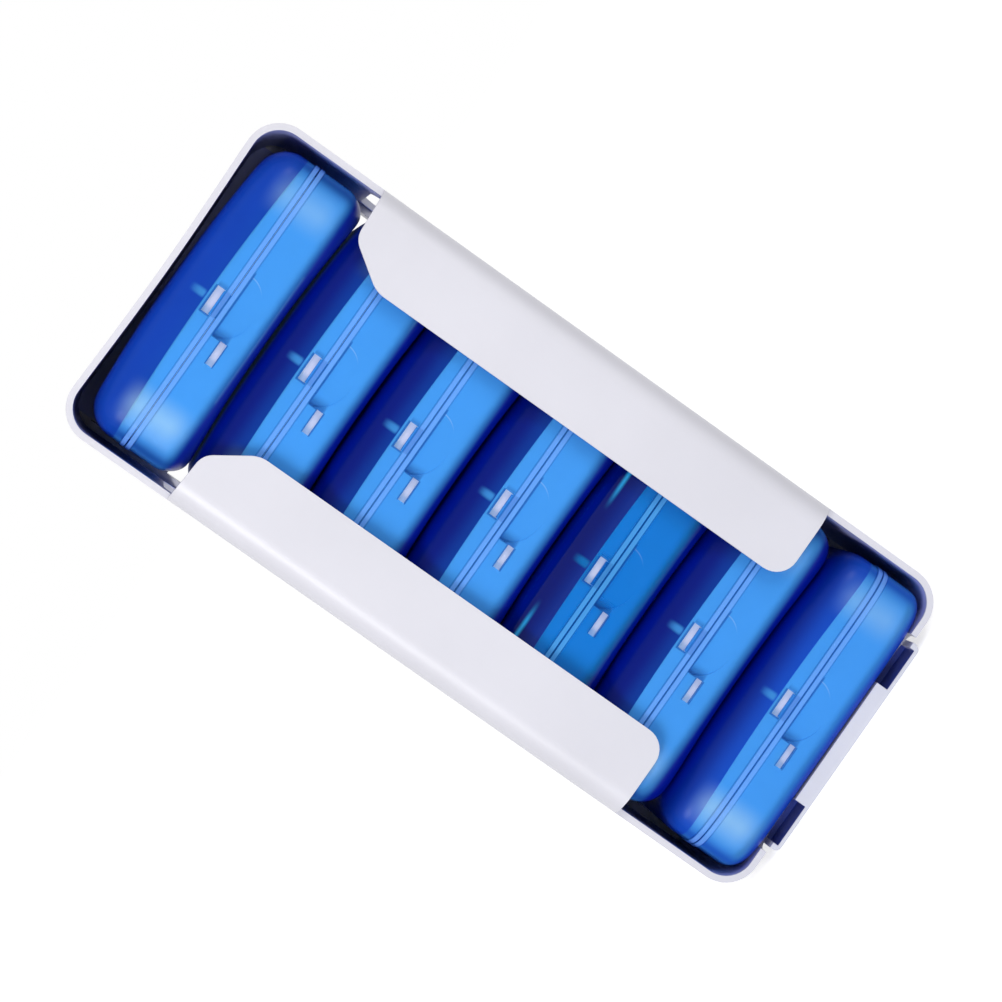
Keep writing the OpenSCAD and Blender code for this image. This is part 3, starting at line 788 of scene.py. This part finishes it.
def painted_highlights(tree, x, height, in_front):
    """Painted highlights: the scoop's edge, lamp reflections near both ends of a front, streaks on a clear dome."""
    off_middle = maths(tree, "ABSOLUTE", x)
    scoop_x = maths(tree, "DIVIDE", maths(tree, "SUBTRACT", x, SCOOP_X), SCOOP_RX)
    scoop_z = maths(tree, "DIVIDE", maths(tree, "SUBTRACT", height, SCOOP_TOP), SCOOP_RZ)
    scoop_edge_highlight = product(tree, band(tree, radius_of(tree, scoop_x, scoop_z), 0.985, 1.015, 0.015),
                         ramp(tree, x, 2.5, 5.0), ramp(tree, height, -1.2, -1.5), ramp(tree, height, -5.0, -2.5),
                         in_front)
    end_reflection = product(tree, band(tree, off_middle, 21.5, 26.5, 3.0), band(tree, height, -7.0, 4.5, 2.5), in_front)
    streak_highlight = product(tree, band(tree, height, 7.3, 7.9, 0.35), ramp(tree, off_middle, 10.0, 18.0), in_front)
    return scoop_edge_highlight, end_reflection, streak_highlight


print("marks round a window from", LATCH_LOW, "to", LATCH_TOP, "mm and a slot from", SLOT_LOW, "to", SLOT_TOP, "mm")

# %% [markdown]
# The blue plastic is translucent: where the white tray lies right behind it, light comes back through it
# and it looks bright, and where only the dark inside of the lid is behind it, it looks deep blue. Both are
# painted as well: painted light over the tray, and a painted shade that deepens towards the crown. A thin
# shell is best made from three simple shaders: a clear one with a blue tint for what passes through, a
# glossy blue one for what the plastic itself sends back, and a plain clear one for the far side of each
# wall, so that a wall tints only once. The masks decide their shares. Every box is one pitch above the next,
# so the height above the seam is taken modulo the pitch, and one material serves every height. The dome of
# the top and the bottom box gets painted light, because they lie in the open mouths of the rack. The fifth
# box is of a clearer, glossier blue, with two painted highlight streaks along its dome.

# %% Blue plastic
LIT_DOME, LAMP_REFLECTION = (0.008, 0.085, 0.62, 1), (0.55, 0.86, 1.0, 1)
STREAK_HIGHLIGHT, SCOOP_HIGHLIGHT = (0.03, 0.50, 1.0, 1), (0.6, 0.8, 1.0, 1)


def blue_plastic(name, tint, colours, roughness, gloss, grain, solid_dome, solid_backed, streak_highlights=0.0):
    bright, middle, deep, crown_edge, bead_highlight = colours
    made, tree = material(name)
    place = add(tree, "ShaderNodeTexCoord").outputs["Object"]
    x, y, z = axes_in_mm(tree, place)
    above_lowest = maths(tree, "SUBTRACT", z, seam_z[7] - BASE_H)
    height = maths(tree, "SUBTRACT", maths(tree, "MODULO", above_lowest, pitch), BASE_H)
    off_seam, in_front = maths(tree, "ABSOLUTE", height), ramp(tree, y, -20.0, -24.0)
    backed = tray_behind(tree, x, y, height, in_front)
    painted_shade = painted_shade_lines(tree, x, height, in_front)
    scoop_edge_highlight, end_reflection, streak_highlight = painted_highlights(tree, x, height, in_front)
    on_bead = band(tree, off_seam, 0.15, 1.05, 0.1)
    in_mouth = largest(tree, ramp(tree, z, seam_z[1] - 2.0, seam_z[1] + 9.0),
                       ramp(tree, z, seam_z[7] + 10.5, seam_z[7] + 3.5))
    reflection_share = product(tree, maths(tree, "ADD", 0.4, product(tree, ramp(tree, x, 5.0, -5.0), 0.3)),
                         maths(tree, "ADD", 0.45, product(tree, backed, 0.55)), end_reflection)

    # Painted shade: the lid darkens from the middle tone to the deep one towards its crown; the top of the crown and
    # the underside of the base take a slightly lighter blue than the deep one.
    own = paint(tree, middle, deep, ramp(tree, height, 3.5, 7.5))
    own = paint(tree, own, crown_edge, ramp(tree, off_seam, 8.4, 9.8))
    # Painted light on the domes of the top and the bottom box, in the rack's open mouths.
    own = paint(tree, own, LIT_DOME, product(tree, in_mouth, 0.6))
    # Painted light: the bright tone where light comes back through the wall from the white tray.
    own = paint(tree, own, bright, backed)
    # Painted reflection of the lamps near both ends of a front.
    own = paint(tree, own, LAMP_REFLECTION, reflection_share)
    # Painted highlight streaks along a clear dome.
    own = paint(tree, own, STREAK_HIGHLIGHT, product(tree, streak_highlight, streak_highlights))
    # The proud bead is more solid, and painted lighter as a highlight where it catches the light.
    own = paint(tree, own, bead_highlight, product(tree, on_bead, 0.8))
    # Painted highlight on the edge of the scoop.
    own = paint(tree, own, SCOOP_HIGHLIGHT, product(tree, scoop_edge_highlight, 0.35))
    # Painted shade lines, laid in the middle tone.
    own = paint(tree, own, middle, product(tree, painted_shade, 0.75))
    cloud = maths(tree, "ADD", 0.92, product(tree, noise(tree, place, 90.0), 0.16))
    own = add(tree, "ShaderNodeVectorMath", {0: own, 1: cloud}, operation="MULTIPLY").outputs[0]

    fine = noise(tree, place, 900.0, 2.0)
    plastic = add(tree, "ShaderNodeBsdfPrincipled", {
        "Base Color": own, "Roughness": maths(tree, "ADD", roughness - 0.05, product(tree, fine, 0.1)),
        "Normal": bump(tree, fine, 0.25, grain), "IOR": 1.49, "Specular IOR Level": gloss})
    through = add(tree, "ShaderNodeBsdfTransparent", {"Color": tint})
    solid = maths(tree, "ADD", solid_dome, product(tree, backed, solid_backed - solid_dome))
    solid = largest(tree, solid, product(tree, largest(tree, on_bead, painted_shade), 0.8))
    wall = add(tree, "ShaderNodeMixShader", {0: solid, 1: through.outputs[0], 2: plastic.outputs[0]})
    clear = add(tree, "ShaderNodeBsdfTransparent", {"Color": (1, 1, 1, 1)})
    behind = add(tree, "ShaderNodeNewGeometry").outputs["Backfacing"]
    both = add(tree, "ShaderNodeMixShader", {0: behind, 1: wall.outputs[0], 2: clear.outputs[0]})
    add(tree, "ShaderNodeOutputMaterial", {"Surface": both.outputs[0]})
    return made


frosted_blue = blue_plastic(
    "frosted blue plastic", tint=(0.33, 0.72, 1.0, 1), roughness=0.34, gloss=0.12, grain=0.02, solid_dome=0.99,
    solid_backed=0.5,
    colours=((0.07, 0.40, 1.0, 1), (0.0, 0.034, 0.28, 1), (0.0, 0.008, 0.19, 1), (0.0, 0.008, 0.28, 1),
             (0.17, 0.40, 0.97, 1)))
clear_blue = blue_plastic(
    "clear blue plastic", tint=(0.12, 0.50, 0.90, 1), roughness=0.12, gloss=0.14, grain=0.004, solid_dome=0.97,
    solid_backed=0.35, streak_highlights=0.85,
    colours=((0.008, 0.29, 0.78, 1), (0.0, 0.022, 0.24, 1), (0.0, 0.006, 0.15, 1), (0.0, 0.008, 0.26, 1),
             (0.09, 0.38, 0.82, 1)))
print("blue plastics:", frosted_blue.name, "and", clear_blue.name)

# %% [markdown]
# The white mouldings are opaque. The rack has a satin surface with a very fine grain from its mould, and the
# tray is a little more matte. Both get slow, faint changes of tone and roughness, because no moulding is
# perfectly even. The inside of the rack sees hardly any light but what has come through blue plastic, so
# behind the rim its walls are painted a blue shade. A mask finds them by how deep a point lies inside the
# outline of the rack. The two recesses beside the foot's bar are painted a deep blue shade for the same
# reason. The pins are bright drawn steel, with fine lines along the wire.

# %% White plastics
def shaded_rack_inside(tree, x, y, z):
    """Where the painted shade goes: 1 on the inner faces of the rack's walls and back plates, behind the rim,
    and 0 on the guide ribs.
    """
    off_x = maths(tree, "ABSOLUTE", x)
    off_z = maths(tree, "ABSOLUTE", maths(tree, "SUBTRACT", z, (RACK_LOW + RACK_TOP) / 2))
    past_x = maths(tree, "SUBTRACT", off_x, SIDE - RACK_R)
    past_z = maths(tree, "SUBTRACT", off_z, (RACK_TOP - RACK_LOW) / 2 - RACK_R)
    from_centre = radius_of(tree, maths(tree, "MAXIMUM", past_x, 0.0), maths(tree, "MAXIMUM", past_z, 0.0))
    flat_part = maths(tree, "MINIMUM", maths(tree, "MAXIMUM", past_x, past_z), 0.0)
    depth = maths(tree, "SUBTRACT", RACK_R, maths(tree, "ADD", from_centre, flat_part))
    off_ribs = largest(tree, ramp(tree, y, RIB_Y - 0.1, RIB_Y - 0.3), ramp(tree, off_x, RIB_X - 0.1, RIB_X - 0.3))
    return product(tree, ramp(tree, y, RIM_Y + 0.3, RIM_Y + 0.9), ramp(tree, y, REAR_Y - 1.0, REAR_Y - 1.25),
                   ramp(tree, depth, 1.1, 1.28), off_ribs)


def shaded_foot_recess(tree, x, y, z):
    """Where the painted shade goes: 1 on the floor of the two recesses beside the foot's bar."""
    off_middle = maths(tree, "ABSOLUTE", x)
    return product(tree, ramp(tree, off_middle, BAR_X - 0.15, BAR_X + 0.05),
                   ramp(tree, off_middle, RECESS_X + 0.1, RECESS_X - 0.1),
                   ramp(tree, y, RIM_Y + 0.05, RIM_Y + 0.3), ramp(tree, y, RIM_Y + RECESS_D + 0.2, RIM_Y + RECESS_D),
                   ramp(tree, z, RECESS_Z - 0.2, RECESS_Z - 0.05))


def white_plastic(name, colour, roughness, grain_scale, grain, inner=None, where=None):
    """inner is a second colour, a painted shade, and where the mask that says on which places it lies."""
    made, tree = material(name)
    place = add(tree, "ShaderNodeTexCoord").outputs["Object"]
    cloud, fine = noise(tree, place, 30.0), noise(tree, place, grain_scale, 2.0)
    darker = tuple(0.955 * c for c in colour[:3]) + (1,)
    tone = paint(tree, darker, colour, ramp(tree, cloud, 0.3, 0.7))
    if where:
        tone = paint(tree, tone, inner, where(tree, *axes_in_mm(tree, place)))
    plastic = add(tree, "ShaderNodeBsdfPrincipled", {
        "Base Color": tone, "Roughness": maths(tree, "ADD", roughness - 0.06, product(tree, cloud, 0.12)),
        "Normal": bump(tree, fine, 0.3, grain), "IOR": 1.5})
    add(tree, "ShaderNodeOutputMaterial", {"Surface": plastic.outputs[0]})
    return made


# Painted shade on the inside of the rack, behind the rim.
rack_white = white_plastic("rack white", (0.70, 0.695, 0.76, 1), 0.38, 1400.0, 0.012,
                           inner=(0.40, 0.44, 0.80, 1), where=shaded_rack_inside)
# Painted shade in the recesses beside the foot's bar.
foot_white = white_plastic("foot white", (0.68, 0.69, 0.77, 1), 0.38, 1400.0, 0.012,
                           inner=(0.03, 0.06, 0.36, 1), where=shaded_foot_recess)
tray_white = white_plastic("tray white", (0.68, 0.68, 0.84, 1), 0.5, 1100.0, 0.015)
print("white plastics:", rack_white.name, foot_white.name, tray_white.name)

# %% Drawn steel
def drawn_steel(name):
    made, tree = material(name)
    place = add(tree, "ShaderNodeTexCoord").outputs["Object"]
    stretched = add(tree, "ShaderNodeMapping", {"Vector": place, "Scale": (20.0, 900.0, 900.0)}).outputs[0]
    lines = noise(tree, stretched, 3.0, 4.0)
    metal = add(tree, "ShaderNodeBsdfPrincipled", {
        "Base Color": paint(tree, (0.55, 0.56, 0.58, 1), (0.78, 0.79, 0.81, 1), lines),
        "Roughness": maths(tree, "ADD", 0.2, product(tree, lines, 0.2)),
        "Normal": bump(tree, lines, 0.2, 0.01), "Metallic": 1.0})
    add(tree, "ShaderNodeOutputMaterial", {"Surface": metal.outputs[0]})
    return made


pin_steel = drawn_steel("pin steel")
print("materials:", [m.name for m in bpy.data.materials])

# %% [markdown]
# ## Put every piece in its place
# Each finished mesh becomes a piece that takes the place of its CAD node and rides on that node's body, so
# a box slides with its own tray, lid and pin. The place goes into the mesh, and the object stays at the
# origin.

# %% Place the pieces
def place(name, mesh, finish, body, node, slot, lift=0.0):
    own = mesh.copy()
    own.name = name
    own.transform(Matrix.Translation((0, 0, lift * MM)))
    own.materials.clear()
    own.materials.append(finish)
    piece = new_object(name, own)
    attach(piece, body)
    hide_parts(node)


place("white_rack", rack_mesh, rack_white, "rack", "holder_frame", "white_shell")
place("white_foot", foot_mesh, foot_white, "rack", "foot_plate", "white_shell")
for day in DAYS:
    blue, slot = (clear_blue, "clear_blue") if day == 5 else (frosted_blue, "blue_shell")
    base = lowest_base if day == 7 else nesting_base
    body, height = f"day{day}_box", seam_z[day]
    place(f"day{day}_blue_base", base, blue, body, f"day{day}_base", slot, height)
    place(f"day{day}_blue_lid", lid_mesh, blue, body, f"day{day}_lid", slot, height)
    place(f"day{day}_white_tray", tray_mesh, tray_white, body, f"day{day}_tray", "white_tray", height)
    place(f"day{day}_steel_pin", pin_mesh, pin_steel, body, f"day{day}_hinge_pin", "steel_pin", height)

# %% [markdown]
# ## Floor, light and camera
# The tower stands on a plain white floor in soft studio light. A large soft lamp on the left is the main
# light and a weaker one on the right fills in, so that both ends of every box are lit.
# The floor and the world look white to the camera, to gloss and through clear plastic, but light the
# object only moderately, so its colours stay as written. The camera is turned on its own axis, which lays
# the tower obliquely across the picture.

# %% Floor and world
def seen_white(tree):
    """1 for rays that come from the camera, from gloss or through clear plastic."""
    path = add(tree, "ShaderNodeLightPath").outputs
    return largest(tree, path["Is Camera Ray"], path["Is Glossy Ray"], path["Is Transmission Ray"])


def floor_white():
    made, tree = material("floor white")
    plain = add(tree, "ShaderNodeBsdfDiffuse", {"Color": (0.9, 0.9, 0.9, 1)})
    glow = add(tree, "ShaderNodeEmission", {"Color": (1, 1, 1, 1), "Strength": product(tree, seen_white(tree), 0.6)})
    both = add(tree, "ShaderNodeAddShader", {0: plain.outputs[0], 1: glow.outputs[0]})
    add(tree, "ShaderNodeOutputMaterial", {"Surface": both.outputs[0]})
    return made


floor_mesh = bpy.data.meshes.new("floor")
floor_mesh.from_pydata([(-4, -4, 0), (4, -4, 0), (4, 4, 0), (-4, 4, 0)], [], [(0, 1, 2, 3)])
floor_mesh.materials.append(floor_white())
floor = new_object("floor", floor_mesh)

world = bpy.data.worlds.new("studio")
bpy.context.scene.world = world
world.use_nodes = True
world.node_tree.nodes.clear()
strength = maths(world.node_tree, "ADD", 0.5, product(world.node_tree, seen_white(world.node_tree), 0.5))
sky = add(world.node_tree, "ShaderNodeBackground", {"Color": (1, 1, 1, 1), "Strength": strength})
add(world.node_tree, "ShaderNodeOutputWorld", {"Surface": sky.outputs[0]})
print("floor and world ready")

# %% Lamps
def soft_lamp(name, spot, aim, size, power):
    lamp = bpy.data.lights.new(name, "AREA")
    lamp.shape, lamp.size, lamp.energy = "DISK", size, power
    thing = new_object(name, lamp)
    thing.location = spot
    thing.rotation_euler = (Vector(aim) - Vector(spot)).to_track_quat("-Z", "Y").to_euler()
    print(name, "at", spot, power, "W")


soft_lamp("main lamp", (-0.60, -0.75, 0.15), (0, 0, 0.08), 0.36, 4.5)
soft_lamp("fill lamp", (0.65, -0.70, 0.35), (0, 0, 0.08), 0.36, 2.4)

# %% Camera
right = Vector((0.5756, -0.0974, -0.8119))
up = Vector((0.8174, 0.0401, 0.5747))
back = right.cross(up).normalized()
right = up.cross(back).normalized()
up = back.cross(right).normalized()
turn = Matrix((right, up, back)).transposed().to_4x4()
camera_data = bpy.data.cameras.new("camera")
camera_data.lens, camera_data.sensor_width = 125.6, 36.0
camera_data.clip_start, camera_data.clip_end = 0.05, 20.0
camera = new_object("camera", camera_data)
camera.matrix_world = Matrix.Translation((-0.0150, -0.6804, 0.1500)) @ turn
bpy.context.scene.camera = camera
bpy.context.scene.view_settings.view_transform = "Standard"
print("camera looks along", [round(-v, 3) for v in back])
